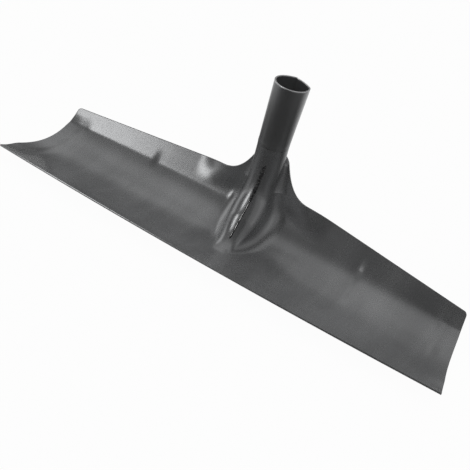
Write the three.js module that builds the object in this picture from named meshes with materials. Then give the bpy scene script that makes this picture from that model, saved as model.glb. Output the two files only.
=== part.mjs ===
// Barn scraper head: a wide curved steel blade pressed from one sheet, whose middle is drawn up into
// a neck, and a rolled conical socket welded on the neck for a wooden handle.
// Millimetres. +Z is the socket axis and points at the handle, +X runs along the blade,
// and -Y is the front, the hollow side of the blade that gathers the muck.

import * as THREE from 'three';

// Driving dimensions of the blade

const sheetThickness = 2;
const lipWidth = 600;                // along the scraping lip, corner to corner
const endLean = 20;                  // each end leans in by this much, from the lip to its top corner
const endHeight = 144;               // developed height of the blade at its ends
const middleHeight = 174.5;          // the same in the middle, where the top edges would meet
const lipBow = 11.5;                 // how far the lip runs out in the middle
const lipFlat = 14;                  // unbent strip behind the lip
const lipPitch = -16.6;              // degrees, slope of that strip
const curlSpread = 72.1;             // the bend tightens evenly: its radius is this, squared, over its length
const stripSlope = 63;               // degrees, slope of the flat strip along the top edge, at its ends
const stripWidth = 22;               // width of that strip at its ends
const stripMiddleWidth = 36;         // and what it grows to towards the middle
const stripBend = 6;                 // length over which the sheet turns into the strip
const stripFadeStart = 36;           // half width of the middle, which stands upright and has no fold
const stripFadeEnd = 84;             // and where the fold is whole
const stripLeanEnd = 96;             // half width from which the strip leans back in full

const flangeWidth = 22;              // pressed strip along each end of the blade
const flangeRise = 3;                // how far the strip is bent to the front
const beadHeight = 1.2;              // small ridge along the bend
const beadWidth = 5;
const panelHalfWidth = 160;          // edge of the area that the die pressed deeper
const panelLean = 12;                // that edge leans in towards the top
const panelDepth = 1.3;
const panelBlend = 10;               // width of the step around that area

// Driving dimensions of the neck and its crest, most of them from the middle of the top edge

const neckHalfWidth = 56;            // where the top edge starts to sweep up into the neck
const neckRise = 59.3;               // top of the neck above the middle of the top edge
const noseSetback = 34;              // start of the raised crest, measured up the blade
const noseHalfWidth = 22;            // half width of the raised crest at its start
const sweepKneeHalfWidth = 34;       // the free edge bends up near this point
const sweepKneeRise = 2.8;           // above the line of the top edge
const sweepRise = 32.3;              // it reaches the side of the neck here, above the middle of the top edge
const sweepClearance = 4;
const kneeInset = 18;                // the crest bends upright near this point, in front of that middle
const kneeDrop = 36;                 // and below it
const leastRise = 0.001;             // rise of the rows below the crest, so that their arcs stay finite
const slitWidth = 1.6;               // dart in the sheet along the crest
const slitStartOffset = -1.4;        // the dart leans: sideways place of its line at the nose
const slitEndOffset = 3.6;           // and at its top

// Driving dimensions of the socket

const socketLength = 74;             // rolled tube above its root weld
const socketRootRadius = 18.7;
const socketMouthRadius = 21;
const socketInset = 13.6;            // socket axis in front of the middle of the top edge
const seamTurn = 11;                 // degrees, how far the rolled seam sits off the middle
const seamOpening = 1;               // gap between the two edges that meet in the seam
const seamProud = 1.3;               // the left edge stands out this far at the mouth
const seamFlat = 2.2;                // the right edge is left unrolled by this much at the mouth

// Driving dimensions of the welds

const weldGap = 0.3;                 // clearance between a bead and the sheet beside it
const rootGap = 2;                   // opening between neck and socket that the root weld fills
const rootWeldCrown = 0.5;
const crestWeldWidth = 5;
const crestWeldHeight = 1.4;
const seamWeldWidth = 5;
const seamWeldHeight = 1.4;
const seamWeldSetback = 4;           // the bead stops short of the mouth and of the root by this much

// Rows run up the sheet: 0 at the lip, 1 at the top edge and 2 at the top of the neck.
// Columns run along it. The shares below place both, close together where the sheet bends.

const bladeRowShares = [0, 0.08, 0.16, 0.22, 0.26, 0.3, 0.34, 0.375, 0.41, 0.43, 0.475, 0.52, 0.57, 0.63, 0.69,
  0.75, 0.81, 0.87, 0.91, 0.955, 1];
const neckRowShares = [1.06, 1.13, 1.2, 1.28, 1.36, 1.44, 1.52, 1.6, 1.67, 1.74, 1.81, 1.88, 1.94, 2];
const wingColumnShares = [0.1, 0.22, 0.33, 0.38, 0.41, 0.44, 0.5, 0.62, 0.74, 0.83, 0.88, 0.91, 0.94, 0.97, 1];
const neckColumnsPerSide = 14;
const noseRoundingShare = 0.42;      // the nose rises gently over this share of the crest line
const crestStartRateShare = 1.7;     // rate at which rows follow the crest at its nose: 1 is an even rate
const crestFlareShare = 0.81;        // growth of its half width with its height
const sweepRowShare = 0.6;           // rows of the neck over which its free edge sweeps in
const wrapRowShare = 0.9;            // and by which the sheet has wrapped to the back
const slitRowShares = [0.43, 1.67];
const slitTopShare = 0.87;           // share of the crest line at the top of the dart
const crestWeldRowShares = [0.79, 1.65];
const pressFadeShares = [0.05, 0.22, 0.78, 0.95];
const seamProudShare = 0.12;         // stretch of the socket's girth over which its left edge lifts
const seamFlatShare = 0.2;           // stretch over which its right edge is flat
const beadShoulderShare = 0.8;       // height of a bead half way to its side

const sheetRowShares = [...bladeRowShares, ...neckRowShares];
const degree = Math.PI / 180;
const seamHalfTurn = seamOpening / 2 / socketRootRadius;
const mix = THREE.MathUtils.lerp;
const ease = THREE.MathUtils.smoothstep;

const paintedSteel = new THREE.MeshStandardMaterial({ color: 0x56585a, roughness: 0.35, metalness: 0.85 });
const socketSteel = new THREE.MeshStandardMaterial({ color: 0x4c4e50, roughness: 0.38, metalness: 0.85 });
const weldSteel = new THREE.MeshStandardMaterial({ color: 0x3e4042, roughness: 0.55, metalness: 0.8 });

// Side profile of the blade

const topWidth = lipWidth - 2 * endLean;
const curlRate = 1 / curlSpread ** 2;

function topRunAt(x) {
  return mix(middleHeight, endHeight, Math.abs(x) / (topWidth / 2));
}

// The strip along the top edge is flat. It stands upright in the middle, where it runs on into the
// neck, and leans back towards the ends.
function stripSlopeAt(x) {
  return mix(Math.PI / 2, stripSlope * degree, ease(Math.abs(x), stripFadeStart, stripLeanEnd));
}

// Slope of the blade at a distance up from the lip line: flat first, then bending ever tighter, and
// then folded into the strip.
function slopeAt(x, run) {
  const bent = Math.max(0, run - lipFlat);
  const curl = lipPitch * degree + curlRate * bent * bent / 2;
  const strip = stripSlopeAt(x);
  const foldRun = topRunAt(x) - mix(stripMiddleWidth, stripWidth, Math.abs(x) / (topWidth / 2));
  const fold = ease(run, foldRun - stripBend / 2, foldRun + stripBend / 2);
  return mix(Math.min(strip, curl), strip, fold * ease(Math.abs(x), stripFadeStart, stripFadeEnd));
}

// Point of the side profile, y to the back and z up, added up in short straight steps.
function profileAt(x, run) {
  const steps = 60;
  const step = run / steps;
  let y = 0;
  let z = 0;
  for (let i = 0; i < steps; i++) {
    const slope = slopeAt(x, (i + 0.5) * step);
    y += Math.cos(slope) * step;
    z += Math.sin(slope) * step;
  }
  return { y, z };
}

function runAt(x, row) {
  const lipShare = x / (lipWidth / 2);
  const lipRun = -lipBow * (1 - lipShare * lipShare);
  return mix(lipRun, topRunAt(x), row);
}

// Height of the pressed features over the plain curved sheet, to the front.
function pressAt(x, row) {
  const [lowStart, lowEnd, highStart, highEnd] = pressFadeShares;
  const fade = ease(row, lowStart, lowEnd) * (1 - ease(row, highStart, highEnd));
  const inset = mix(lipWidth, topWidth, row) / 2 - Math.abs(x);
  const flange = flangeRise * Math.max(0, 1 - inset / flangeWidth);
  const beadOffset = (inset - flangeWidth) / beadWidth;
  const bead = beadHeight * Math.exp(-beadOffset * beadOffset);
  const panelEdge = panelHalfWidth - panelLean * row;
  const panel = panelDepth * (ease(Math.abs(x), panelEdge - panelBlend / 2, panelEdge + panelBlend / 2) - 1);
  return fade * (flange + bead + panel);
}

// Point on the front of the plain blade.
function bladePoint(x, row) {
  const run = runAt(x, row);
  const { y, z } = profileAt(x, run);
  const press = pressAt(x, row);
  const slope = slopeAt(x, run);
  return new THREE.Vector3(x, y - Math.sin(slope) * press, z + Math.cos(slope) * press);
}

// Neck: each row is a path that starts on the crest, goes round the crest's arc, comes out of the
// valley beside it on an opposite arc, and runs flat to the edge of the neck zone.

const noseRow = (noseSetback + lipBow) / (middleHeight + lipBow);
const nose = bladePoint(0, noseRow);
const topMiddle = bladePoint(0, 1);
const topCorner = bladePoint(neckHalfWidth, 1);
const neckHeight = topMiddle.z + neckRise;
const sweepHeight = topMiddle.z + sweepRise;
const socketSetback = topMiddle.y - socketInset;
const crestLine = new THREE.QuadraticBezierCurve(
  new THREE.Vector2(nose.y, nose.z),
  new THREE.Vector2(topMiddle.y - kneeInset, topMiddle.z - kneeDrop),
  new THREE.Vector2(socketSetback - socketRootRadius, neckHeight));

// The free edge of the sheet sweeps in and up from the top edge of the blade to the side of the neck.
const sweepLine = new THREE.QuadraticBezierCurve(
  new THREE.Vector2(neckHalfWidth, topCorner.z),
  new THREE.Vector2(sweepKneeHalfWidth, bladePoint(sweepKneeHalfWidth, 1).z + sweepKneeRise),
  new THREE.Vector2(socketRootRadius + sweepClearance, sweepHeight));

// Share of the crest line that reaches a height, found by halving.
function crestShareAtHeight(z) {
  const halvings = 30;
  let low = 0;
  let high = 1;
  for (let i = 0; i < halvings; i++) {
    const middle = (low + high) / 2;
    if (crestLine.getPoint(middle).y < z) low = middle;
    else high = middle;
  }
  return low;
}

const crestTopShare = crestShareAtHeight(topMiddle.z);

function crestShareAt(row) {
  if (row <= 1) {
    const climb = Math.max(0, (row - noseRow) / (1 - noseRow));
    return crestTopShare * climb * (crestStartRateShare - (crestStartRateShare - 1) * climb);
  }
  const climb = row - 1;
  if (climb > sweepRowShare) {
    return crestShareAtHeight(mix(sweepHeight, neckHeight, (climb - sweepRowShare) / (1 - sweepRowShare)));
  }
  const edge = sweepLine.getPoint(climb / sweepRowShare);
  return crestShareAtHeight(edge.y + (topMiddle.z - bladePoint(edge.x, 1).z) * sagAt(row));
}

// How much of the fall of the top edge a row of the neck still has.
function sagAt(row) {
  return 1 - ease(row - 1, 0, sweepRowShare);
}

// Half width of the raised crest: it flares with its rise, and draws in to the socket above the top edge.
function crestWidthAt(rise, z) {
  const share = THREE.MathUtils.clamp((z - topMiddle.z) / (sweepHeight - topMiddle.z), 0, 1);
  return mix(Math.hypot(noseHalfWidth, crestFlareShare * rise), socketRootRadius + sweepClearance, share);
}

// Path that falls by the rise in two opposite arcs and runs flat to the edge of the neck zone.
function pathShape(rise, width, halfWidth, roundness) {
  const arc = 2 * Math.atan(rise / width);
  const arcSum = (width * width + rise * rise) / (2 * rise);
  const radius = mix(arcSum / 2, socketRootRadius, roundness);
  const flat = Math.max(0, halfWidth - width);
  return { radius, rise, flat, valley: arcSum - radius, valleyArc: arc, arcs: [arc, arc] };
}

function rowShape(row) {
  const share = crestShareAt(row);
  const crest = crestLine.getPoint(share);
  if (row <= 1) {
    const base = bladePoint(0, row);
    const lift = new THREE.Vector3(0, crest.x - base.y, crest.y - base.z);
    const rise = Math.max(leastRise, lift.length() * ease(share, 0, noseRoundingShare));
    const shape = pathShape(rise, crestWidthAt(rise, crest.y), neckHalfWidth, 0);
    return { ...shape, share, lift: lift.normalize() };
  }
  const climb = row - 1;
  const halfWidth = sweepLine.getPoint(Math.min(1, climb / sweepRowShare)).x;
  const rise = topMiddle.y - crest.x;
  const shape = pathShape(rise, crestWidthAt(rise, crest.y), halfWidth, ease(climb, 0, sweepRowShare));
  const wrap = ease(climb, sweepRowShare, wrapRowShare);
  const wrapTo = (turn) => mix(shape.valleyArc, Math.PI + turn - seamHalfTurn, wrap);
  shape.arcs = [wrapTo(-seamTurn * degree), wrapTo(seamTurn * degree)];
  shape.valleyArc *= 1 - wrap;
  return { ...shape, share, lift: new THREE.Vector3(0, -1, 0) };
}

function sideLength(shape, side) {
  return shape.radius * shape.arcs[side] + shape.valley * shape.valleyArc + shape.flat;
}

// Position along a row's path: x sideways and depth behind the crest.
function tracePath(shape, side, length) {
  const arc = shape.arcs[side];
  const arcLength = shape.radius * arc;
  const valleyLength = shape.valley * shape.valleyArc;
  const turned = Math.min(length, arcLength) / shape.radius;
  const valleyPart = THREE.MathUtils.clamp(length - arcLength, 0, valleyLength);
  const flatPart = Math.max(0, length - arcLength - valleyLength);
  const heading = arc - valleyPart / shape.valley;
  return {
    x: shape.radius * Math.sin(turned) + shape.valley * (Math.sin(arc) - Math.sin(heading))
      + flatPart * Math.cos(heading),
    depth: shape.radius * (1 - Math.cos(turned)) + shape.valley * (Math.cos(heading) - Math.cos(arc))
      + flatPart * Math.sin(heading),
  };
}

// Point on the front of the neck zone, at a signed length along the row from the middle plane.
function neckPoint(row, length) {
  const shape = rowShape(row);
  const side = length < 0 ? 0 : 1;
  const path = tracePath(shape, side, Math.abs(length));
  const x = side ? path.x : -path.x;
  if (row <= 1) return bladePoint(x, row).addScaledVector(shape.lift, shape.rise - path.depth);
  const crest = crestLine.getPoint(shape.share);
  const fall = bladePoint(Math.min(neckHalfWidth, path.x), 1).sub(topMiddle).multiplyScalar(sagAt(row));
  return new THREE.Vector3(x, crest.x + fall.y, crest.y + fall.z).addScaledVector(shape.lift, -path.depth);
}

function slitOffsetAt(row) {
  return mix(slitStartOffset, slitEndOffset, Math.min(1, crestShareAt(row) / slitTopShare));
}

// Closed body of a bent sheet, from its front and back points on a grid. A cell that is left out makes
// an opening, and each side of a cell without a neighbour gets a wall.
function sheetBody(front, back, isSheet) {
  const rows = front.length;
  const columns = front[0].length;
  const position = [...front.flat(), ...back.flat()].flatMap((p) => [p.x, p.y, p.z]);
  const frontAt = (r, c) => r * columns + c;
  const backAt = (r, c) => rows * columns + r * columns + c;
  const index = [];
  const quad = (a, b, c, d) => index.push(a, b, c, a, c, d);
  const filled = (r, c) => r >= 0 && c >= 0 && r < rows - 1 && c < columns - 1 && isSheet(r, c);
  for (let r = 0; r < rows - 1; r++) {
    for (let c = 0; c < columns - 1; c++) {
      if (!filled(r, c)) continue;
      quad(frontAt(r, c), frontAt(r, c + 1), frontAt(r + 1, c + 1), frontAt(r + 1, c));
      quad(backAt(r, c), backAt(r + 1, c), backAt(r + 1, c + 1), backAt(r, c + 1));
      if (!filled(r - 1, c)) quad(frontAt(r, c), backAt(r, c), backAt(r, c + 1), frontAt(r, c + 1));
      if (!filled(r + 1, c)) {
        quad(frontAt(r + 1, c + 1), backAt(r + 1, c + 1), backAt(r + 1, c), frontAt(r + 1, c));
      }
      if (!filled(r, c - 1)) quad(frontAt(r + 1, c), backAt(r + 1, c), backAt(r, c), frontAt(r, c));
      if (!filled(r, c + 1)) {
        quad(frontAt(r, c + 1), backAt(r, c + 1), backAt(r + 1, c + 1), frontAt(r + 1, c + 1));
      }
    }
  }
  return geometryFrom(position, index);
}

// Closed body through rings of equal length, with flat ends. A ring's outline is also given flat, so
// that its end can be filled.
function loftBody(rings, outline) {
  const count = rings[0].length;
  const position = rings.flat().flatMap((p) => [p.x, p.y, p.z]);
  const last = (rings.length - 1) * count;
  const index = [];
  for (let r = 0; r < rings.length - 1; r++) {
    for (let i = 0; i < count; i++) {
      const next = (i + 1) % count;
      const low = r * count;
      const high = low + count;
      index.push(low + i, high + next, low + next, low + i, high + i, high + next);
    }
  }
  for (const [a, b, c] of THREE.ShapeUtils.triangulateShape(outline, [])) {
    index.push(a, b, c, last + a, last + c, last + b);
  }
  return geometryFrom(position, index);
}

function geometryFrom(position, index) {
  const used = [...new Set(index)];
  const place = new Map(used.map((old, fresh) => [old, fresh]));
  const geometry = new THREE.BufferGeometry();
  const kept = used.flatMap((old) => position.slice(3 * old, 3 * old + 3));
  geometry.setAttribute('position', new THREE.Float32BufferAttribute(kept, 3));
  geometry.setIndex(index.map((old) => place.get(old)));
  geometry.computeVertexNormals();
  return geometry;
}

// Back of a sheet: the front grid moved by the thickness, square to the surface.
function offsetGrid(front, thickness, isLevelRow) {
  return front.map((line, r) => line.map((point, c) => {
    const below = front[Math.max(0, r - 1)][c];
    const above = front[Math.min(front.length - 1, r + 1)][c];
    const left = line[Math.max(0, c - 1)];
    const right = line[Math.min(line.length - 1, c + 1)];
    const normal = right.clone().sub(left).cross(above.clone().sub(below));
    if (isLevelRow(r)) normal.z = 0;
    return point.clone().addScaledVector(normal.normalize(), -thickness);
  }));
}

// Blade with its neck

function makeBlade() {
  const wingColumns = wingColumnShares.length;
  const front = sheetRowShares.map((row) => {
    const shape = rowShape(row);
    const slit = slitOffsetAt(row);
    const line = [];
    const wing = (side, share) => {
      const endX = mix(lipWidth, topWidth, Math.min(1, row)) / 2;
      return bladePoint(side * mix(neckHalfWidth, endX, share), Math.min(1, row));
    };
    for (let i = wingColumns - 1; i >= 0; i--) line.push(wing(-1, wingColumnShares[i]));
    for (let i = neckColumnsPerSide; i >= 0; i--) {
      const inner = slit - slitWidth / 2;
      line.push(neckPoint(row, mix(inner, -sideLength(shape, 0), i / neckColumnsPerSide)));
    }
    for (let i = 0; i <= neckColumnsPerSide; i++) {
      const inner = slit + slitWidth / 2;
      line.push(neckPoint(row, mix(inner, sideLength(shape, 1), i / neckColumnsPerSide)));
    }
    for (let i = 0; i < wingColumns; i++) line.push(wing(1, wingColumnShares[i]));
    return line;
  });
  const middle = wingColumns + neckColumnsPerSide;
  const [slitStart, slitEnd] = slitRowShares;
  const isSheet = (r, c) => {
    const inNeck = c >= wingColumns && c <= wingColumns + 2 * neckColumnsPerSide;
    const inSlit = c === middle && sheetRowShares[r] >= slitStart && sheetRowShares[r + 1] <= slitEnd;
    return (inNeck || sheetRowShares[r + 1] <= 1) && !inSlit;
  };
  const back = offsetGrid(front, sheetThickness, (r) => r === sheetRowShares.length - 1);
  return sheetBody(front, back, isSheet);
}

// Socket

function socketPoint(turn, share, depth) {
  const flatWaveShare = 0.9;
  const girth = (turn + Math.PI - seamTurn * degree) / (2 * Math.PI);
  const lifted = Math.max(0, 1 - girth / seamProudShare) ** 2;
  const flatTurn = THREE.MathUtils.clamp((girth - 1 + seamFlatShare) / seamFlatShare, 0, flatWaveShare);
  const flat = Math.sin(Math.PI * flatTurn);
  const radius = mix(socketRootRadius, socketMouthRadius, share)
    + share * (seamProud * lifted - seamFlat * flat) - depth;
  const z = neckHeight + rootGap + socketLength * share;
  return new THREE.Vector3(radius * Math.sin(turn), socketSetback - radius * Math.cos(turn), z);
}

const seamLeftTurn = -Math.PI + seamTurn * degree + seamHalfTurn;
const seamRightTurn = Math.PI + seamTurn * degree - seamHalfTurn;

function makeSocket() {
  const columns = 44;
  const rows = 6;
  const grid = (depth) => Array.from({ length: rows + 1 }, (_, r) =>
    Array.from({ length: columns + 1 }, (_, c) =>
      socketPoint(mix(seamLeftTurn, seamRightTurn, c / columns), r / rows, depth)));
  return sheetBody(grid(0), grid(sheetThickness), () => true);
}

// Welds

function makeRootWeld() {
  const inner = socketRootRadius - sheetThickness;
  const low = neckHeight + weldGap;
  const high = neckHeight + rootGap - weldGap;
  const profile = [
    new THREE.Vector2(inner, low),
    new THREE.Vector2(socketRootRadius, low),
    new THREE.Vector2(socketRootRadius + rootWeldCrown, (low + high) / 2),
    new THREE.Vector2(socketRootRadius, high),
    new THREE.Vector2(inner, high),
    new THREE.Vector2(inner, low),
  ];
  const sides = 48;
  const ring = new THREE.LatheGeometry(profile, sides);
  ring.rotateX(Math.PI / 2);
  ring.translate(0, socketSetback, 0);
  return ring;
}

// The bead has a ring at each row of the sheet, so that both bend at the same places.
function makeCrestWeld() {
  const keel = slitWidth / 2 - weldGap;
  const keelDepth = sheetThickness / 2;
  const half = crestWeldWidth / 2;
  const shoulder = crestWeldHeight * beadShoulderShare;
  const outline = [
    [-half, weldGap], [-keel, weldGap], [-keel, -keelDepth], [keel, -keelDepth], [keel, weldGap],
    [half, weldGap], [half / 2, shoulder], [0, crestWeldHeight], [-half / 2, shoulder],
  ].map(([x, y]) => new THREE.Vector2(x, y));
  const [start, end] = crestWeldRowShares;
  const probe = 0.01;
  const rows = [start, ...sheetRowShares.filter((row) => row > start && row < end), end];
  const rings = rows.map((row) => {
    const middle = slitOffsetAt(row);
    const along = neckPoint(row + probe, middle).sub(neckPoint(row - probe, middle));
    return outline.map(({ x, y }) => {
      const across = neckPoint(row, middle + x + probe).sub(neckPoint(row, middle + x - probe));
      const outward = across.cross(along).normalize();
      return neckPoint(row, middle + x).addScaledVector(outward, y);
    });
  });
  return loftBody(rings, outline);
}

function makeSeamWeld() {
  const steps = 8;
  const half = seamWeldWidth / 2;
  const shoulder = seamWeldHeight * beadShoulderShare;
  const outline = [
    [-half, 0], [-seamOpening / 2, 0], [seamOpening / 2, 0], [half, 0],
    [half / 2, shoulder], [0, seamWeldHeight], [-half / 2, shoulder],
  ].map(([x, y]) => new THREE.Vector2(x, y));
  const endShare = seamWeldSetback / socketLength;
  const seamMiddle = Math.PI + seamTurn * degree;
  const rings = Array.from({ length: steps + 1 }, (_, s) => {
    const share = mix(endShare, 1 - endShare, s / steps);
    return outline.map(({ x, y }) => {
      const turn = seamMiddle + x / socketRootRadius;
      const onLeft = x >= 0;
      const sheetTurn = onLeft ? Math.max(seamLeftTurn, turn - 2 * Math.PI) : Math.min(seamRightTurn, turn);
      const sheet = socketPoint(sheetTurn, share, 0);
      const radius = Math.hypot(sheet.x, sheet.y - socketSetback) + weldGap + y;
      return new THREE.Vector3(radius * Math.sin(turn), socketSetback - radius * Math.cos(turn), sheet.z);
    });
  });
  return loftBody(rings, outline);
}

// Assembly, moved so that the part stands on z = 0 with its middle over the origin

const scraper = new THREE.Group();

function add(name, geometry, material) {
  const mesh = new THREE.Mesh(geometry, material);
  mesh.name = name;
  scraper.add(mesh);
}

add('blade', makeBlade(), paintedSteel);
add('socket', makeSocket(), socketSteel);
add('root_weld', makeRootWeld(), weldSteel);
add('crest_weld', makeCrestWeld(), weldSteel);
add('seam_weld', makeSeamWeld(), weldSteel);

const box = new THREE.Box3().setFromObject(scraper);
scraper.position.set(0, -(box.min.y + box.max.y) / 2, -box.min.z);

export default scraper;
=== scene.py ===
# %% [markdown]
# # A pressed steel scraper head
#
# The object is a wide scraper blade, pressed from one steel sheet, whose middle is drawn up into a
# neck. A rolled conical socket is welded on the neck and takes a long wooden handle. Everything is
# dark grey, satin lacquer on sheet steel.
#
# The packed model is a fixed frame. It has the right places and sizes, but its sheets are faceted,
# so each of them gets a finer twin here that follows the same curves.

# %% Load the frame
import functools
import math

import bmesh
import bpy
from mathutils import Matrix, Vector, noise


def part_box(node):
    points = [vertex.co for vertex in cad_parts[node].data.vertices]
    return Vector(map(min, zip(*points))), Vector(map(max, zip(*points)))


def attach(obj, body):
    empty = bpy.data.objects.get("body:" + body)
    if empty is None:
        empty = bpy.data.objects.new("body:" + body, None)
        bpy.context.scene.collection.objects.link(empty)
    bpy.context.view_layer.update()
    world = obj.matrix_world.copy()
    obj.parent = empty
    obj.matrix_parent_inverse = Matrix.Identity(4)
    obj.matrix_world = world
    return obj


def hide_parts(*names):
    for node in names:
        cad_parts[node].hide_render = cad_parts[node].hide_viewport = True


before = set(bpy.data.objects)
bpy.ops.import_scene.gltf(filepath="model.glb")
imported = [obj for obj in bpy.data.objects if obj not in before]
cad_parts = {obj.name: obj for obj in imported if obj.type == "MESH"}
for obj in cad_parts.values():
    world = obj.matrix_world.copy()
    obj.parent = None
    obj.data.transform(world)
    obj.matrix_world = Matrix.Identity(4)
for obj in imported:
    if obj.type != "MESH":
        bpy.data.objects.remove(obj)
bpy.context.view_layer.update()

# %% [markdown]
# ## Sizes
#
# The sizes are in millimetres, as on a workshop drawing. The drawing has its origin on the line
# through the two lip corners, but the packed part stands on the floor over its own middle. So one
# shift takes a drawn point to its place in the model.

# %% Sizes of the blade
MM = 0.001
SHEET = 2.0
LIP_WIDTH, END_LEAN = 600.0, 20.0
TOP_WIDTH = LIP_WIDTH - 2 * END_LEAN
END_HEIGHT, MIDDLE_HEIGHT = 144.0, 174.5
LIP_BOW, LIP_FLAT = 11.5, 14.0
LIP_PITCH = math.radians(-16.6)
CURL_SPREAD = 72.1
STRIP_SLOPE = math.radians(63)
STRIP_WIDTH, STRIP_MIDDLE_WIDTH, STRIP_BEND = 22.0, 36.0, 6.0
STRIP_FADE, STRIP_LEAN = (36.0, 84.0), (36.0, 96.0)  # half widths over which they grow
FLANGE_WIDTH, FLANGE_RISE = 22.0, 3.0
BEAD_HEIGHT, BEAD_WIDTH = 1.2, 5.0
PANEL_HALF_WIDTH, PANEL_LEAN, PANEL_DEPTH, PANEL_BLEND = 160.0, 12.0, 1.3, 10.0
PRESS_FADE = (0.05, 0.22, 0.78, 0.95)
CORNER_RADIUS = 4.0
print("blade:", LIP_WIDTH, "mm wide at its lip and", TOP_WIDTH, "mm at its top edge")

# %% Sizes of the neck, the dart and the socket
NECK_HALF_WIDTH, NECK_RISE = 56.0, 59.3
NOSE_SETBACK, NOSE_HALF_WIDTH, LEAST_RISE = 34.0, 22.0, 0.001
CREST_FLARE, CREST_START_RATE = 0.81, 1.7
SWEEP_KNEE = (34.0, 2.8)
SWEEP_RISE, SWEEP_CLEARANCE = 32.3, 4.0
KNEE_INSET, KNEE_DROP = 18.0, 36.0
SLIT_FOOT_ROW, SLIT_OFFSETS, SLIT_TOP_SHARE = 0.43, (-1.4, 3.6), 0.87
NOSE_ROUNDING, SWEEP_ROWS, WRAP_ROWS = 0.42, 0.6, 0.9
ROOT_RADIUS, MOUTH_RADIUS = 18.7, 21.0
SOCKET_LENGTH, SOCKET_INSET = 74.0, 13.6
SEAM_TURN, SEAM_OPENING = math.radians(11), 1.0
SEAM_PROUD, SEAM_FLAT = 1.3, 2.2
SEAM_PROUD_SHARE, SEAM_FLAT_SHARE = 0.12, 0.2
ROOT_GAP = 2.0

blade_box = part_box("blade")
SHIFT = Vector((0, -62.6580, 17.7833))
print("blade from", [round(1000 * value, 1) for value in blade_box[0]])

# %% [markdown]
# ## The side profile
#
# Seen from its end the blade is a hook: a short flat behind the lip, then a bend that gets ever
# tighter, and then a fold into a flat strip along the top edge. Such a curve is easiest to draw as
# a path: walk up the sheet in short steps and turn a little at each one. The strip leans back at
# the ends and stands upright in the middle, because there it runs on into the neck.


# %% Walk up the side profile
def ease(value, start, end):
    """Smooth step from 0 at start to 1 at end."""
    share = min(1.0, max(0.0, (value - start) / (end - start)))
    return share * share * (3 - 2 * share)


def mix(low, high, share):
    return low + (high - low) * share


def top_run_at(x):
    return mix(MIDDLE_HEIGHT, END_HEIGHT, abs(x) / (TOP_WIDTH / 2))


@functools.cache
def strip_at(x):
    """Slope of the strip, where up the sheet the fold lies, and how much of the fold there is."""
    slope = mix(math.pi / 2, STRIP_SLOPE, ease(abs(x), *STRIP_LEAN))
    fold_run = top_run_at(x) - mix(STRIP_MIDDLE_WIDTH, STRIP_WIDTH, abs(x) / (TOP_WIDTH / 2))
    return slope, fold_run, ease(abs(x), *STRIP_FADE)


def slope_at(x, run):
    """Slope of the sheet at a distance up from the lip line."""
    bent = max(0.0, run - LIP_FLAT)
    curl = LIP_PITCH + bent * bent / (2 * CURL_SPREAD**2)
    slope, fold_run, fold = strip_at(x)
    folded = fold * ease(run, fold_run - STRIP_BEND / 2, fold_run + STRIP_BEND / 2)
    return mix(min(slope, curl), slope, folded)


def profile_at(x, run):
    """Point of the side profile, y to the back and z up."""
    steps = 60
    step = run / steps
    y = z = 0.0
    for i in range(steps):
        slope = slope_at(x, (i + 0.5) * step)
        y += math.cos(slope) * step
        z += math.sin(slope) * step
    return y, z


print("top edge in the middle:", [round(value, 1) for value in profile_at(0, MIDDLE_HEIGHT)])


# %% [markdown]
# ## The pressed forms of the blade
#
# A row runs along the blade: row 0 is the lip and row 1 the top edge. The die leaves three shallow
# forms on the sheet: a strip bent forward along each end, a small bead along that bend, and a panel
# in the middle that is pressed a little deeper.


# %% Point on the plain blade
def run_at(x, row):
    """Distance up the sheet, from the line through the lip corners."""
    lip = -LIP_BOW * (1 - (x / (LIP_WIDTH / 2)) ** 2)
    return mix(lip, top_run_at(x), row)


def press_at(x, row):
    """Height of the pressed forms over the plain curved sheet."""
    fade = ease(row, *PRESS_FADE[:2]) * (1 - ease(row, *PRESS_FADE[2:]))
    inset = mix(LIP_WIDTH, TOP_WIDTH, row) / 2 - abs(x)
    flange = FLANGE_RISE * max(0.0, 1 - inset / FLANGE_WIDTH)
    bead = BEAD_HEIGHT * math.exp(-((inset - FLANGE_WIDTH) / BEAD_WIDTH) ** 2)
    edge = PANEL_HALF_WIDTH - PANEL_LEAN * row
    panel = PANEL_DEPTH * (ease(abs(x), edge - PANEL_BLEND / 2, edge + PANEL_BLEND / 2) - 1)
    return fade * (flange + bead + panel)


def blade_point(x, row):
    run = run_at(x, row)
    y, z = profile_at(x, run)
    press = press_at(x, row)
    slope = slope_at(x, run)
    return Vector((x, y - math.sin(slope) * press, z + math.cos(slope) * press))


print("lip corner:", [round(value, 2) for value in blade_point(LIP_WIDTH / 2, 0)])

# %% [markdown]
# ## The neck
#
# Rows 1 to 2 climb the neck. Each row is a path in two arcs: round the crest, and out of the valley
# beside it. Low on the blade the arcs are small, at the top edge they fill the whole neck zone, and
# above it the free edge of the sheet sweeps in until the path wraps right round to the back.

# %% The lines that the neck follows
NOSE_ROW = (NOSE_SETBACK + LIP_BOW) / (MIDDLE_HEIGHT + LIP_BOW)
NOSE = blade_point(0, NOSE_ROW)
TOP_MIDDLE = blade_point(0, 1)
TOP_CORNER = blade_point(NECK_HALF_WIDTH, 1)
NECK_HEIGHT = TOP_MIDDLE.z + NECK_RISE
SWEEP_HEIGHT = TOP_MIDDLE.z + SWEEP_RISE
SOCKET_SETBACK = TOP_MIDDLE.y - SOCKET_INSET
CREST_FOOT = Vector((NOSE.y, NOSE.z))
CREST_KNEE = Vector((TOP_MIDDLE.y - KNEE_INSET, TOP_MIDDLE.z - KNEE_DROP))
CREST_HEAD = Vector((SOCKET_SETBACK - ROOT_RADIUS, NECK_HEIGHT))
SWEEP_FOOT = Vector((NECK_HALF_WIDTH, TOP_CORNER.z))
SWEEP_BEND = Vector((SWEEP_KNEE[0], blade_point(SWEEP_KNEE[0], 1).z + SWEEP_KNEE[1]))
SWEEP_HEAD = Vector((ROOT_RADIUS + SWEEP_CLEARANCE, SWEEP_HEIGHT))


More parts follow.
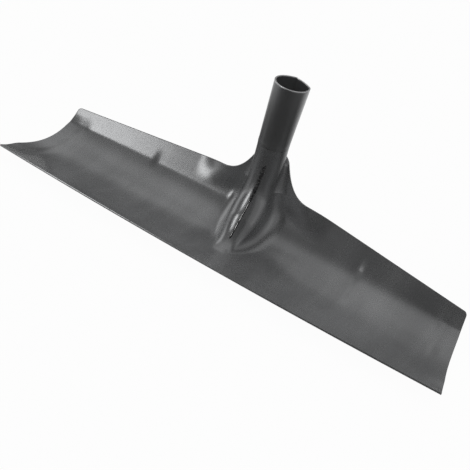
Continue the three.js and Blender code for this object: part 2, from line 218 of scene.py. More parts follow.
def bent_line(start, knee, end, share):
    """Point on a quadratic curve."""
    return start * (1 - share) ** 2 + knee * 2 * share * (1 - share) + end * share**2


def crest_at(share):
    """Point of the crest in the middle plane: how far back, and how high."""
    return bent_line(CREST_FOOT, CREST_KNEE, CREST_HEAD, share)


def sweep_at(share):
    """Point of the free edge beside the neck: how far sideways, and how high."""
    return bent_line(SWEEP_FOOT, SWEEP_BEND, SWEEP_HEAD, share)


def crest_share_at_height(z):
    """Share of the crest line at which it reaches a height, found by halving."""
    low, high = 0.0, 1.0
    for _ in range(30):
        middle = (low + high) / 2
        if crest_at(middle).y < z:
            low = middle
        else:
            high = middle
    return low


CREST_TOP = crest_share_at_height(TOP_MIDDLE.z)
print("crest passes the top edge at share", round(CREST_TOP, 3))


# %% The arcs of one row
def sag_at(row):
    """How much of the fall of the top edge a row of the neck still has."""
    return 1 - ease(row - 1, 0, SWEEP_ROWS)


def crest_share_at(row):
    if row <= 1:
        climb = max(0.0, (row - NOSE_ROW) / (1 - NOSE_ROW))
        return CREST_TOP * climb * (CREST_START_RATE - (CREST_START_RATE - 1) * climb)
    climb = row - 1
    if climb > SWEEP_ROWS:
        over = (climb - SWEEP_ROWS) / (1 - SWEEP_ROWS)
        return crest_share_at_height(mix(SWEEP_HEIGHT, NECK_HEIGHT, over))
    edge = sweep_at(climb / SWEEP_ROWS)
    return crest_share_at_height(edge.y + (TOP_MIDDLE.z - blade_point(edge.x, 1).z) * sag_at(row))


def crest_width_at(rise, z):
    """Half width of the raised crest: it flares with its rise, and draws in above the top edge."""
    share = min(1.0, max(0.0, (z - TOP_MIDDLE.z) / (SWEEP_HEIGHT - TOP_MIDDLE.z)))
    flared = math.hypot(NOSE_HALF_WIDTH, CREST_FLARE * rise)
    return mix(flared, ROOT_RADIUS + SWEEP_CLEARANCE, share)


def arcs_for(rise, width, half_width, roundness):
    """Path that falls by the rise in two opposite arcs, and runs flat to the half width."""
    arc = 2 * math.atan(rise / width)
    total = (width**2 + rise**2) / (2 * rise)
    radius = mix(total / 2, ROOT_RADIUS, roundness)
    shape = {"radius": radius, "valley": total - radius, "arcs": [arc, arc], "valley_arc": arc}
    return shape | {"rise": rise, "flat": max(0.0, half_width - width)}


def row_shape(row):
    """All that a row's path needs. Above the sweep it wraps right round to the seam at the back."""
    share = crest_share_at(row)
    crest = crest_at(share)
    if row <= 1:
        base = blade_point(0, row)
        lift = Vector((0, crest.x - base.y, crest.y - base.z))
        rise = max(LEAST_RISE, lift.length * ease(share, 0, NOSE_ROUNDING))
        shape = arcs_for(rise, crest_width_at(rise, crest.y), NECK_HALF_WIDTH, 0)
        lift = lift.normalized()
    else:
        climb = row - 1
        half_width = sweep_at(min(1.0, climb / SWEEP_ROWS)).x
        rise = TOP_MIDDLE.y - crest.x
        width = crest_width_at(rise, crest.y)
        shape = arcs_for(rise, width, half_width, ease(climb, 0, SWEEP_ROWS))
        wrap = ease(climb, SWEEP_ROWS, WRAP_ROWS)
        seam_half_turn = SEAM_OPENING / 2 / ROOT_RADIUS
        back = [math.pi + turn - seam_half_turn for turn in (-SEAM_TURN, SEAM_TURN)]
        shape["arcs"] = [mix(shape["valley_arc"], arc, wrap) for arc in back]
        shape["valley_arc"] *= 1 - wrap
        lift = Vector((0, -1, 0))
    return shape | {"share": share, "crest": crest, "lift": lift, "row": row}


print("arc at the top edge:", round(math.degrees(row_shape(1)["arcs"][0])), "degrees")


# %% Point on the neck
def side_length(shape, side):
    crest_part = shape["radius"] * shape["arcs"][side]
    valley_part = shape["valley"] * shape["valley_arc"]
    return crest_part + valley_part + shape["flat"]


def trace_path(shape, side, length):
    """Sideways place and depth behind the crest, at a length along the row."""
    radius, valley, arc = shape["radius"], shape["valley"], shape["arcs"][side]
    turned = min(length, radius * arc) / radius
    valley_part = min(max(0.0, length - radius * arc), valley * shape["valley_arc"])
    flat_part = max(0.0, length - radius * arc - valley * shape["valley_arc"])
    heading = arc - valley_part / valley
    valley_x = valley * (math.sin(arc) - math.sin(heading))
    valley_depth = valley * (math.cos(heading) - math.cos(arc))
    x = radius * math.sin(turned) + valley_x + flat_part * math.cos(heading)
    depth = radius * (1 - math.cos(turned)) + valley_depth + flat_part * math.sin(heading)
    return x, depth


def neck_point(shape, length):
    """Point on the front of the neck, at a signed length along a row from the middle plane."""
    side = 0 if length < 0 else 1
    across, depth = trace_path(shape, side, abs(length))
    x = across if side else -across
    row = shape["row"]
    if row <= 1:
        return blade_point(x, row) + shape["lift"] * (shape["rise"] - depth)
    fall = (blade_point(min(NECK_HALF_WIDTH, across), 1) - TOP_MIDDLE) * sag_at(row)
    crest = shape["crest"]
    return Vector((x, crest.x + fall.y, crest.y + fall.z)) - shape["lift"] * depth


def slit_offset_at(row):
    """Length along a row at which the middle of the dart crosses it."""
    return mix(*SLIT_OFFSETS, min(1.0, crest_share_at(row) / SLIT_TOP_SHARE))


print("crest at the top edge:", [round(value, 1) for value in neck_point(row_shape(1), 0)])

# %% [markdown]
# ## From a flat grid to a sheet
#
# A press turns a flat blank into a form, and the same idea serves here: a flat grid is made with
# `create_grid`, each of its points is carried to its place on the formed sheet, what the blank
# doesn't have is cut away, and `solidify` gives the rest its thickness. Last a narrow bevel breaks
# the cut edges, because real edges catch a thin line of light.


# %% Press a blank
SHARP_ANGLE = math.radians(60)


def pressed_sheet(name, columns, rows, place, keep, edge_break):
    """Sheet from a grid: place gives the point of a column and row, keep says which cells stay."""
    sheet = bmesh.new()
    bmesh.ops.create_grid(sheet, x_segments=columns, y_segments=rows, size=1)
    cells = {}
    for face in sheet.faces:
        centre = face.calc_center_median()
        cells[face] = (int((centre.x + 1) / 2 * columns), int((centre.y + 1) / 2 * rows))
    for vert in sheet.verts:
        column, row = round((vert.co.x + 1) / 2 * columns), round((vert.co.y + 1) / 2 * rows)
        vert.co = place(column, row) + SHIFT
    gone = [face for face, cell in cells.items() if not keep(*cell)]
    bmesh.ops.delete(sheet, geom=gone, context="FACES")
    sheet.normal_update()
    bmesh.ops.solidify(sheet, geom=sheet.faces[:], thickness=SHEET)
    sheet.normal_update()
    closed = [edge for edge in sheet.edges if edge.is_manifold]
    sharp = [edge for edge in closed if edge.calc_face_angle() > SHARP_ANGLE]
    cut = {"offset": edge_break, "segments": 2, "profile": 0.5, "affect": "EDGES"}
    bmesh.ops.bevel(sheet, geom=sharp, material=-1, clamp_overlap=True, **cut)
    return finish_mesh(name, sheet, 35)


def finish_mesh(name, shape, smooth_angle):
    """Turns a bmesh in drawing millimetres into an object of this model."""
    bmesh.ops.scale(shape, vec=(MM, MM, MM), verts=shape.verts)
    mesh = bpy.data.meshes.new(name)
    shape.to_mesh(mesh)
    shape.free()
    mesh.shade_smooth()
    mesh.set_sharp_from_angle(angle=math.radians(smooth_angle))
    piece = bpy.data.objects.new(name, mesh)
    bpy.context.collection.objects.link(piece)
    triangles = sum(len(polygon.vertices) - 2 for polygon in mesh.polygons)
    size = [round(value / MM, 1) for value in piece.dimensions]
    print(f"{name}: {triangles} triangles, {size} mm")
    return piece


print("sheets will be", SHEET, "mm thick")


# %% [markdown]
# ## The blade with its neck
#
# The grid has three zones side by side: a wing, the neck, and the other wing. Rows above the top
# edge exist in the neck only. The dart is one column of cells, left out between two rows. Its two
# lips were cut by hand on the real one, so they get a small random wander.

# %% Grid lines of the blade
WING_COLUMNS, END_COLUMNS = 84, 6
NECK_COLUMNS = 40
ROWS_BELOW, EDGE_ROWS, NECK_ROWS = 92, 5, 60
EDGE_ZONE = 5.0


def wing_share(step):
    """Share of the wing's width at a grid column, close together in the last few millimetres."""
    wing = LIP_WIDTH / 2 - NECK_HALF_WIDTH
    fine = EDGE_ZONE / wing
    if step <= WING_COLUMNS:
        return (1 - fine) * step / WING_COLUMNS
    return 1 - fine + fine * (step - WING_COLUMNS) / END_COLUMNS


def row_at(step):
    """Row of the sheet at a grid row, with the last few millimetres below the top edge finer."""
    fine = EDGE_ZONE / MIDDLE_HEIGHT
    if step <= ROWS_BELOW:
        return (1 - fine) * step / ROWS_BELOW
    if step <= ROWS_BELOW + EDGE_ROWS:
        return 1 - fine + fine * (step - ROWS_BELOW) / EDGE_ROWS
    return 1 + (step - ROWS_BELOW - EDGE_ROWS) / NECK_ROWS


WING = WING_COLUMNS + END_COLUMNS
COLUMNS = 2 * WING + 2 * NECK_COLUMNS + 1
ROWS = ROWS_BELOW + EDGE_ROWS + NECK_ROWS
SHAPES = [row_shape(row_at(step)) for step in range(ROWS + 1)]
SLITS = [slit_offset_at(row_at(step)) for step in range(ROWS + 1)]
print("grid of", COLUMNS, "by", ROWS)


# %% Places on the formed sheet
DART_GAP, DART_END_ROW = 0.8, 1.6
CROWDING = 1.15  # draws the neck's columns together at the dart


def wing_point(side, share, row):
    """Point on a wing, with its top corner rounded."""
    row = min(1.0, row)
    end = mix(LIP_WIDTH, TOP_WIDTH, row) / 2
    from_end = CORNER_RADIUS - (end - mix(NECK_HALF_WIDTH, end, share))
    from_top = CORNER_RADIUS - (1 - row) * END_HEIGHT
    x = mix(NECK_HALF_WIDTH, end, share)
    if from_end > 0 and from_top > 0:
        pull = 1 - max(from_end, from_top) / math.hypot(from_end, from_top)
        x -= from_end * pull
        row -= from_top * pull / END_HEIGHT
    return blade_point(side * x, row)


def lip_wander(row, side):
    """How far a lip of the dart wanders sideways, in millimetres: a slow wave and a quick one."""
    slow = noise.noise(Vector((9.0 * side, 60.0 * row, 0.5)))
    quick = noise.noise(Vector((3.0, 170.0 * row, side)))
    return 0.25 * slow + 0.15 * quick


def blade_place(column, step):
    """Point of the formed sheet at a grid column and row."""
    row = row_at(step)
    if column < WING:
        return wing_point(-1, wing_share(WING - column), row)
    if column > WING + 2 * NECK_COLUMNS + 1:
        return wing_point(1, wing_share(column - WING - 2 * NECK_COLUMNS - 1), row)
    shape, slit = SHAPES[step], SLITS[step]
    inner = column - WING
    right = inner > NECK_COLUMNS
    share = (inner - NECK_COLUMNS - 1 if right else NECK_COLUMNS - inner) / NECK_COLUMNS
    in_slit = SLIT_FOOT_ROW <= row <= DART_END_ROW
    half = DART_GAP / 2 + (lip_wander(row, 1 if right else -1) if in_slit else 0.0)
    start = slit + half if right else slit - half
    stop = side_length(shape, 1) if right else -side_length(shape, 0)
    length = mix(start, stop, share**CROWDING)
    return neck_point(shape, length)


def blade_keep(column, step):
    """Whether a cell is steel. Above the top edge only the neck is, and the dart is cut out."""
    below, above = row_at(step), row_at(step + 1)
    in_neck = WING <= column <= WING + 2 * NECK_COLUMNS
    in_dart = column == WING + NECK_COLUMNS and SLIT_FOOT_ROW <= below and above <= DART_END_ROW
    return (in_neck or above <= 1) and not in_dart


blade = pressed_sheet("blade_sheet", COLUMNS, ROWS, blade_place, blade_keep, edge_break=0.35)
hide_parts("blade")
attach(blade, "root")

# %% [markdown]
# ## The socket
#
# The socket is rolled from flat sheet and closed at the back, so it isn't quite round: its left
# edge stands out at the mouth, and its right edge was left a little flat. The same press makes it,
# from a grid that is wrapped round.


# %% Roll the socket
FLAT_WAVE_END = 0.9  # the flat by the right edge stops short of a full half wave


def ring_point(turn, radius, z):
    """Point round the axis of the socket, with turn 0 at the front."""
    return Vector((radius * math.sin(turn), SOCKET_SETBACK - radius * math.cos(turn), z))


def tube_height(share):
    return NECK_HEIGHT + ROOT_GAP + SOCKET_LENGTH * share


def tube_radius(turn, share):
    girth = (turn + math.pi - SEAM_TURN) / (2 * math.pi)
    lifted = max(0.0, 1 - girth / SEAM_PROUD_SHARE) ** 2
    flat = min(FLAT_WAVE_END, max(0.0, (girth - 1 + SEAM_FLAT_SHARE) / SEAM_FLAT_SHARE))
    out_of_round = SEAM_PROUD * lifted - SEAM_FLAT * math.sin(math.pi * flat)
    return mix(ROOT_RADIUS, MOUTH_RADIUS, share) + share * out_of_round


SEAM_GAP = 0.3
SEAM_LEFT = -math.pi + SEAM_TURN + SEAM_GAP / 2 / ROOT_RADIUS
SEAM_RIGHT = math.pi + SEAM_TURN - SEAM_GAP / 2 / ROOT_RADIUS
TUBE_COLUMNS, TUBE_ROWS = 160, 40


def tube_place(column, step):
    turn, share = mix(SEAM_LEFT, SEAM_RIGHT, column / TUBE_COLUMNS), step / TUBE_ROWS
    return ring_point(turn, tube_radius(turn, share), tube_height(share))


def tube_keep(column, step):
    return True


socket = pressed_sheet(
    "socket_tube", TUBE_COLUMNS, TUBE_ROWS, tube_place, tube_keep, edge_break=0.3
)
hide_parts("socket")
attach(socket, "root")

# %% [markdown]
# ## The welds
#
# A bead is a closed skin round a line: a grid whose two long sides meet, with its ends drawn to a
# point. Each stop of the welder's hand leaves one ripple, so the bead swells and narrows along its
# length. The weld at the root of the socket was dressed nearly flush and painted over.


# %% Lay a bead
def bead(name, rings, around, place):
    """Closed skin from a grid: place gives the point at a share along and a share around."""
    skin = bmesh.new()
    bmesh.ops.create_grid(skin, x_segments=around, y_segments=rings, size=1)
    for vert in skin.verts:
        vert.co = place((vert.co.y + 1) / 2, (vert.co.x + 1) / 2) + SHIFT
    bmesh.ops.remove_doubles(skin, verts=skin.verts, dist=0.001)
    bmesh.ops.holes_fill(skin, edges=[edge for edge in skin.edges if edge.is_boundary], sides=0)
    bmesh.ops.recalc_face_normals(skin, faces=skin.faces)
    return finish_mesh(name, skin, 50)


def wave(count, along):
    return math.sin(2 * math.pi * count * along)


def wander(scale, along, seed, x=0.0):
    return noise.noise(Vector((x, scale * along, seed)))


def taper(along, bluntness):
    """Draws the ends of a bead to a point, and is 1 over the rest of its length."""
    return math.sqrt(max(0.0, 1 - abs(2 * along - 1) ** bluntness))


def ripple_at(along, count, mean, swing, uneven, seed):
    """Width of a bead as a share: one wave for each stop of the hand, and some unevenness."""
    return mean + swing * wave(count, along) + uneven * wander(30, along, seed)


print("a hundredth in from its end a bead has", round(taper(0.01, 8), 2), "of its width")


# %% The bead over the upper half of the dart
CREST_WELD_ROWS, CREST_WELD_RIPPLES = (0.79, 1.65), 21
CREST_WELD_STRAY, CREST_WELD_TUCK = 0.5, 0.1
WELD_WIDTH, WELD_HEIGHT = 5.0, 1.4
WELD_SINK = 0.5  # how far a bead reaches into the sheet


def bead_section(width, around):
    """Sideways place and height on a bead, at a share round its skin."""
    turn = 2 * math.pi * around
    above, below = max(0.0, -math.cos(turn)), max(0.0, math.cos(turn))
    return width * WELD_WIDTH / 2 * math.sin(turn), width * WELD_HEIGHT * above - WELD_SINK * below


def crest_weld_place(along, around):
    row = mix(*CREST_WELD_ROWS, along)
    ripple = ripple_at(along, CREST_WELD_RIPPLES, mean=0.82, swing=0.14, uneven=0.2, seed=3)
    sideways, height = bead_section(taper(along, 8) * ripple, around)
    middle = slit_offset_at(row) + (sideways + CREST_WELD_STRAY * wander(22, along, 1, x=5))
    shape, step = row_shape(row), 0.02
    across = neck_point(shape, middle + step) - neck_point(shape, middle - step)
    climb = neck_point(row_shape(row + step), middle) - neck_point(row_shape(row - step), middle)
    outward = across.cross(climb).normalized()
    return neck_point(shape, middle) + outward * (height - CREST_WELD_TUCK)


crest_weld = bead("crest_weld_bead", 160, 20, crest_weld_place)
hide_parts("crest_weld")
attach(crest_weld, "root")

# %% The dressed weld at the root of the socket
ROOT_WELD_CROWN, ROOT_WELD_LAP, ROOT_WELD_TUCK = 0.16, 2.6, 0.03
ROOT_WELD_UNEVEN, ROOT_WELD_SPOTS = 0.5, 6
ROOT_WELD_REACH = 0.9  # how deep it goes into the sheet's inner half


def root_weld_place(along, around):
    """The ring closes on itself both ways round: along goes round the tube."""
    turn = 2 * math.pi * along
    section = 2 * math.pi * around
    half = ROOT_GAP / 2 + ROOT_WELD_LAP
    z = NECK_HEIGHT + ROOT_GAP / 2 + half * math.sin(section)
    outward = -math.cos(section)
    round_place = (ROOT_WELD_SPOTS * math.cos(turn), ROOT_WELD_SPOTS * math.sin(turn))
    uneven = 1 + ROOT_WELD_UNEVEN * noise.noise(Vector((*round_place, 2 * math.sin(section))))
    crown = ROOT_WELD_CROWN * uneven * outward**2 - ROOT_WELD_TUCK
    height = crown if outward > 0 else (ROOT_WELD_REACH * outward - 1) * SHEET / 2
    return ring_point(turn, ROOT_RADIUS + height, z)


root_weld = bead("root_weld_ring", 160, 16, root_weld_place)
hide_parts("root_weld")
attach(root_weld, "root")

# %% The bead over the socket's seam
SEAM_WELD_SETBACK, SEAM_WELD_RIPPLES = 4.0, 30


def seam_weld_place(along, around):
    """The two edges of the seam differ in radius, and the bead slopes from one to the other."""
    setback = SEAM_WELD_SETBACK / SOCKET_LENGTH
    share = mix(setback, 1 - setback, along)
    ripple = ripple_at(along, SEAM_WELD_RIPPLES, mean=0.85, swing=0.13, uneven=0.15, seed=7)
    sideways, height = bead_section(taper(along, 10) * ripple, around)
    turn = math.pi + SEAM_TURN + sideways / ROOT_RADIUS
    left = tube_radius(max(SEAM_LEFT, turn - 2 * math.pi), share)
    right = tube_radius(min(SEAM_RIGHT, turn), share)
    sheet = mix(max(left, right), min(left, right), ease(-sideways, -1, 1))
    return ring_point(turn, sheet + height, tube_height(share))


seam_weld = bead("seam_weld_bead", 200, 20, seam_weld_place)
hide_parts("seam_weld")
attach(seam_weld, "root")

# %% [markdown]
# ## Writing finishes as sums
#
# A finish is easier to read as a formula than as a net of nodes. One small class wraps a socket, so
# that plus, minus and times add their Math nodes, and one method adds any other node.


# %% A value on a surface
class Value:
    """A number that varies over a surface."""

    def __init__(self, finish, socket):
        self.finish, self.socket = finish, socket

    def math(self, operation, *values):
        inputs = dict(enumerate(values))
        return self.finish.value("ShaderNodeMath", {"operation": operation}, inputs)

    def __add__(self, other):
        return self.math("ADD", self, other)

    def __sub__(self, other):
        return self.math("SUBTRACT", self, other)

    def __rsub__(self, other):
        return self.math("SUBTRACT", other, self)

    def __mul__(self, other):
        return self.math("MULTIPLY", self, other)

    __radd__, __rmul__ = __add__, __mul__

    def between(self, low, high):
        """0 below low, 1 above high, and smooth between them."""
        settings = {"interpolation_type": "SMOOTHSTEP", "clamp": True}
        inputs = {"Value": self, "From Min": low, "From Max": high}
        return self.finish.value("ShaderNodeMapRange", settings, inputs)

    def band(self, low, full, fading, gone):
        """1 from full to fading, 0 below low and above gone, and smooth between them."""
        return self.between(low, full) * (1 - self.between(fading, gone))


print("a value can", [name for name in vars(Value) if not name.startswith("_")])


# %% Nodes of a material or of the sky
class Nodes:
    """The nodes of a material or of the sky."""

    def __init__(self, tree):
        self.tree = tree

    def node(self, kind, settings=None, inputs=None):
        made = self.tree.nodes.new(kind)
        for name, setting in (settings or {}).items():
            setattr(made, name, setting)
        for name, value in (inputs or {}).items():
            self.feed(made.inputs[name], value)
        return made

    def feed(self, socket, value):
        if isinstance(value, Value):
            value = value.socket
        if isinstance(value, bpy.types.NodeSocket):
            self.tree.links.new(value, socket)
        else:
            socket.default_value = value

    def value(self, kind, settings=None, inputs=None, output=0):
        return Value(self, self.node(kind, settings, inputs).outputs[output])

    def axes(self, place):
        """The three parts of a place or a direction."""
        parts = self.node("ShaderNodeSeparateXYZ", None, {"Vector": place})
        return [Value(self, output) for output in parts.outputs]

    def mixed(self, share, first, second):
        """Mixed shader: first where share is 0 and second where it is 1."""
        inputs = {"Fac": share, 1: first, 2: second}
        return self.node("ShaderNodeMixShader", None, inputs).outputs[0]

    def ray(self, *kinds):
        """1 for the named kinds of ray, and 0 for the others."""
        path = self.node("ShaderNodeLightPath")
        return sum(Value(self, path.outputs[kind]) for kind in kinds)

    def blend(self, share, first, second):
        """Mixed colour: first where share is 0 and second where it is 1."""
        made = self.node("ShaderNodeMix", {"data_type": "RGBA"}, {"Factor": share})
        self.feed(made.inputs[6], first)
        self.feed(made.inputs[7], second)
        return made.outputs[2]


print("nodes can", [name for name in vars(Nodes) if not name.startswith("_")])


# %% A material
class Finish(Nodes):
    """A material."""

    def __init__(self, name):
        self.material = bpy.data.materials.new(name)
        self.material.use_nodes = True
        super().__init__(self.material.node_tree)
        self.shader = self.tree.nodes["Principled BSDF"]
        self.place = self.node("ShaderNodeTexCoord").outputs["Object"]

    def noise(self, scale, detail, stretch=(1, 1, 1)):
        """Cloudy pattern, with its scale in waves per metre."""
        mapping = self.node("ShaderNodeMapping", None, {"Vector": self.place, "Scale": stretch})
        inputs = {"Vector": mapping.outputs[0], "Scale": scale, "Detail": detail}
        return self.value("ShaderNodeTexNoise", None, inputs)

    def set(self, **sockets):
        """Feeds inputs of the shader, with a line for each blank in their names."""
        for name, value in sockets.items():
            self.feed(self.shader.inputs[name.replace("_", " ")], value)

    def bump(self, height, strength, distance):
        inputs = {"Height": height, "Strength": strength, "Distance": distance}
        self.set(Normal=self.node("ShaderNodeBump", None, inputs).outputs[0])


print("a finish can also", [name for name in vars(Finish) if not name.startswith("_")])

# %% [markdown]
# ## Satin lacquer on sheet steel
#
# The lacquer is thin and dark, and the steel's own sheen comes through it, so the finish is mostly
# metallic. Three things keep it from looking like plastic: slow clouds where the coat is thicker,
# fine streaks where it ran while it dried, and a faint waviness that bends the reflections. The rim
# of the socket lost its coat. Beside the dart, on its right lip, a black band is painted shadow of
# the gap, and a paler band on its left lip is a painted highlight where the cut edge takes light.


# %% The lacquer
def lacquer(name, tone, roughness):
    """Finish of a lacquered sheet. Further layers can be laid over its colour."""
    finish = Finish(name)
    clouds = finish.noise(9, 3)
    runs = finish.noise(45, 3, stretch=(1, 0.1, 0.1))
    specks = finish.noise(500, 2)
    wear = (clouds * 0.7 + runs * 0.3).between(0.35, 0.65)
    dark, light = ((*(strength * part for part in tone), 1) for strength in (0.85, 1.15))
    finish.set(Base_Color=finish.blend(wear, dark, light), Metallic=0.8)
    finish.set(Roughness=roughness - 0.03 + 0.05 * runs + 0.03 * specks.between(0.45, 0.7))
    finish.set(Coat_Weight=0.25, Coat_Roughness=0.2)
    finish.bump(clouds * 0.9 + runs * 0.1, 0.2, 0.0012)
    return finish


# The bare steel is the socket's worn rim, and a painted highlight on the dart's left lip.
# The black is weld scale on the welds, and a painted shadow beside the dart.
BARE_STEEL_AND_HIGHLIGHT, SCALE_AND_SHADOW_BLACK = (0.55, 0.55, 0.56, 1), (0.02, 0.02, 0.02, 1)


def overlay(finish, share, colour):
    """Lays a colour over what the finish has so far."""
    below = finish.shader.inputs["Base Color"].links[0].from_socket
    finish.set(Base_Color=finish.blend(share, below, colour))


def part_height(z):
    """Height in the model, in metres, of a height in drawing millimetres."""
    return (z + SHIFT.z) * MM


print("the top edge's middle is", round(part_height(TOP_MIDDLE.z), 4), "m up")


# %% The blade's finish
# painted shadow: the black band right of the dart stands in for the shade in its gap
DART_SHADOW_BAND = (-0.0005, 0.0, 0.0014, 0.0022)  # metres to the right of the dart
# painted highlight: the pale band left of the dart stands in for light on its cut lip
DART_LIP_HIGHLIGHT_BAND = (-0.0016, -0.0012, -0.0006, -0.0002)
RAGGED_BY, DART_FADE = 0.0016, 0.001
LIP_BAND = (0.006, 0.003)  # the lip's middle lies this far ahead, and has no dart

blade_finish = lacquer("blade_lacquer", (0.262, 0.265, 0.269), 0.25)
across, depth, height = blade_finish.axes(blade_finish.place)
dart_rows = (SLIT_FOOT_ROW, DART_END_ROW)
foot, top = (neck_point(row_shape(row), slit_offset_at(row)) for row in dart_rows)
low, high, front = part_height(foot.z), part_height(top.z), (foot.y + SHIFT.y) * MM
print("dart runs up from height", round(low / MM, 1), "to", round(high / MM, 1), "mm")
lean = (top.x - foot.x) / (top.z - foot.z)
in_dart = height.band(low - DART_FADE, low, high, high + DART_FADE)
in_dart = in_dart * depth.between(*(front - ahead for ahead in LIP_BAND))
ragged = blade_finish.noise(350, 3)
beside = across - (height - low) * lean - foot.x * MM + (ragged - 0.5) * RAGGED_BY
# painted shadow of the dart's gap, laid on its right lip
overlay(blade_finish, in_dart * beside.band(*DART_SHADOW_BAND), SCALE_AND_SHADOW_BLACK)
# painted highlight on the dart's left lip
overlay(blade_finish, in_dart * beside.band(*DART_LIP_HIGHLIGHT_BAND) * 0.5, BARE_STEEL_AND_HIGHLIGHT)
blade.data.materials.append(blade_finish.material)

# %% The socket's finish
socket_finish = lacquer("socket_lacquer", (0.22, 0.222, 0.225), 0.29)
rim = part_height(tube_height(1))
height = socket_finish.axes(socket_finish.place)[2]
overlay(socket_finish, height.between(rim - 0.0006, rim - 0.0003), BARE_STEEL_AND_HIGHLIGHT)
for piece in (socket, root_weld):
    piece.data.materials.append(socket_finish.material)
print("the rim is bare at", round(rim / MM, 1), "mm")

# %% [markdown]
# ## Weld metal
#
# Weld metal is rough and scaly, so the lacquer on it looks darker and duller.

# %% The weld finish
WELD_GREY = (0.13, 0.13, 0.132, 1)

weld_finish = Finish("weld_scale")
crust = weld_finish.noise(600, 4)
weld_finish.set(Base_Color=weld_finish.blend(crust.between(0.42, 0.66), SCALE_AND_SHADOW_BLACK, WELD_GREY))
weld_finish.set(Metallic=0.7, Roughness=0.45 + 0.2 * crust)
weld_finish.bump(crust, 0.8, 0.0008)
for piece in (crest_weld, seam_weld):
    piece.data.materials.append(weld_finish.material)
print("materials:", [material.name for material in bpy.data.materials])

# %% [markdown]
# ## Floor and sky
#
# The camera sees a white studio. What lights the matte part of the lacquer comes from above, as it
# does under a soft box. The sheen mirrors a floor that is white at the back and on the left, and
# dark where a photographer stands in front, and a dim room with a white wall on the left. Dark
# steel lives on such changes, because they draw its curves.

# %% The floor
WHITE, GREY, DIM = (1, 1, 1, 1), (0.3, 0.3, 0.3, 1), (0.02, 0.02, 0.02, 1)
FLOOR_HALF_WIDTH, FLOOR_DROP = 12, 0.0005
SEEN_WHITE = 0.97  # the rest of what the camera sees is the floor's own grey, with the shadow
BACK_FADE, LEFT_FADE, RIGHT_FADE = (0.1, 0.45), (-0.6, -0.25), (0.35, 0.6)  # metres

floor_shape = bmesh.new()
bmesh.ops.create_grid(floor_shape, x_segments=1, y_segments=1, size=FLOOR_HALF_WIDTH)
floor_mesh = bpy.data.meshes.new("studio_floor")
floor_shape.to_mesh(floor_mesh)
floor_shape.free()
floor = bpy.data.objects.new("studio_floor", floor_mesh)
bpy.context.collection.objects.link(floor)
floor.location.z = -FLOOR_DROP

floor_finish = Finish("grey_floor")
to_right, to_back, _ = floor_finish.axes(floor_finish.place)
mirrored = floor_finish.ray("Is Glossy Ray", "Is Transmission Ray")
right = to_right.between(*RIGHT_FADE)
back = to_back.between(*BACK_FADE) * (1 - 0.6 * right)
sides = 0.85 * (1 - to_right.between(*LEFT_FADE)) + 0.3 * right
floor_finish.set(Base_Color=floor_finish.blend(mirrored, GREY, DIM))
floor_finish.set(Roughness=0.9, Specular_IOR_Level=0.1)
glow = floor_finish.node("ShaderNodeEmission", None, {"Color": WHITE, "Strength": 1.0})
bright = floor_finish.ray("Is Camera Ray") * SEEN_WHITE + mirrored * (back + sides * (1 - back))
surface = floor_finish.mixed(bright, floor_finish.shader.outputs[0], glow.outputs[0])
floor_finish.feed(floor_finish.tree.nodes["Material Output"].inputs["Surface"], surface)
floor.data.materials.append(floor_finish.material)
print("floor is ready")

# %% The sky
MATTE_STRENGTH, DARKEST_ROOM = 1.9, 0.03
OVERHEAD_FADE, ROOM_FADE = (0.2, 0.9), (0.8, 0.97)
ROOM = [  # azimuth and height in degrees, how white
    (-100, 8, 0.95),
    (60, 8, 0.25),
    (100, 8, 0.3),
    (-180, 42, 0.2),
    (-120, 42, 0.25),
    (-60, 42, 0.12),
    (0, 85, 0.3),
]


def way_to(azimuth, height):
    """Direction, with azimuth 0 to the front and 90 to the right."""
    turn, climb = math.radians(azimuth), math.radians(height)
    return (math.sin(turn) * math.cos(climb), -math.cos(turn) * math.cos(climb), math.sin(climb))


world = bpy.data.worlds.new("studio")
bpy.context.scene.world = world
world.use_nodes = True
sky = Nodes(world.node_tree)
way = sky.node("ShaderNodeTexCoord").outputs["Generated"]
to_top = sky.axes(way)[2]
camera_ray, mirrored = sky.ray("Is Camera Ray"), sky.ray("Is Glossy Ray", "Is Transmission Ray")
room = DARKEST_ROOM
for azimuth, height, whiteness in ROOM:
    ways = {0: way, 1: way_to(azimuth, height)}
    facing = sky.value("ShaderNodeVectorMath", {"operation": "DOT_PRODUCT"}, ways, "Value")
    room = room + facing.between(*ROOM_FADE) * whiteness
soft = to_top.between(*OVERHEAD_FADE) * (1 - camera_ray - mirrored)


def background(strength):
    return sky.node("ShaderNodeBackground", None, {"Color": WHITE, "Strength": strength}).outputs[0]


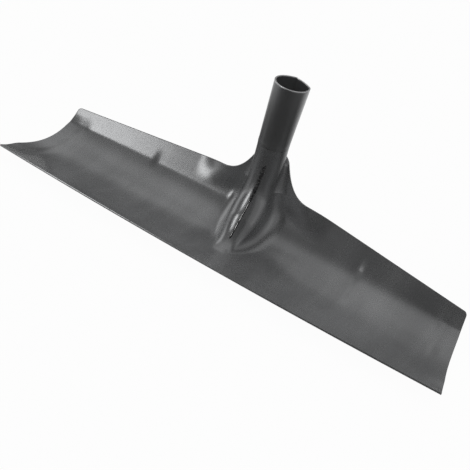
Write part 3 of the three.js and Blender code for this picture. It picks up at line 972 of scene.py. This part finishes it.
overhead = sky.mixed(soft, background(0.0), background(MATTE_STRENGTH))
surface = sky.mixed(camera_ray + mirrored * room, overhead, background(1.0))
sky.feed(sky.tree.nodes["World Output"].inputs["Surface"], surface)
print("sky is ready")

# %% [markdown]
# ## The lamp
#
# A tall soft lamp far off at the front left is what the strip of the left wing mirrors.

# %% Set up the lamp
LAMP_PLACE, LAMP_SIZE, LAMP_WATTS = Vector((-1.95, -2.9, 0.72)), (0.8, 1.5), 13
LAMP_AIM = Vector((0, 0, 0.06))

light = bpy.data.lights.new("front_left_lamp", "AREA")
light.shape = "RECTANGLE"
light.size, light.size_y = LAMP_SIZE
light.energy = LAMP_WATTS
lamp = bpy.data.objects.new("front_left_lamp", light)
bpy.context.collection.objects.link(lamp)
lamp.location = LAMP_PLACE
lamp.rotation_euler = (LAMP_AIM - LAMP_PLACE).to_track_quat("-Z", "Y").to_euler()
print("lamp is", round((LAMP_AIM - LAMP_PLACE).length, 2), "m away")

# %% [markdown]
# ## The camera
#
# It stands in front of the blade, to the right of it and half a metre above it, a little more than
# a metre away, and is rolled so that the blade runs down to the right.

# %% The camera
SENSOR_WIDTH, FOCAL_SHARE = 36, 893.943 / 470  # focal length as a share of the picture's width
CAMERA_PLACE = Vector((325.069, -769.655, 569.233))
CAMERA_RIGHT = Vector((0.83603215, 0.4884718, 0.24989107))
CAMERA_UP = Vector((-0.45813268, 0.37083685, 0.8078332))
CAMERA_BACK = Vector((0.30193492, -0.78985779, 0.53381642))

camera_data = bpy.data.cameras.new("camera")
camera_data.sensor_width = SENSOR_WIDTH
camera_data.lens = FOCAL_SHARE * SENSOR_WIDTH
camera = bpy.data.objects.new("camera", camera_data)
bpy.context.collection.objects.link(camera)
turn = Matrix((CAMERA_RIGHT, CAMERA_UP, CAMERA_BACK)).transposed().to_4x4()
camera.matrix_world = Matrix.Translation((CAMERA_PLACE + SHIFT) * MM) @ turn
bpy.context.scene.camera = camera
bpy.context.scene.view_settings.view_transform = "Standard"
print("camera stands at", [round(value, 3) for value in camera.matrix_world.translation])
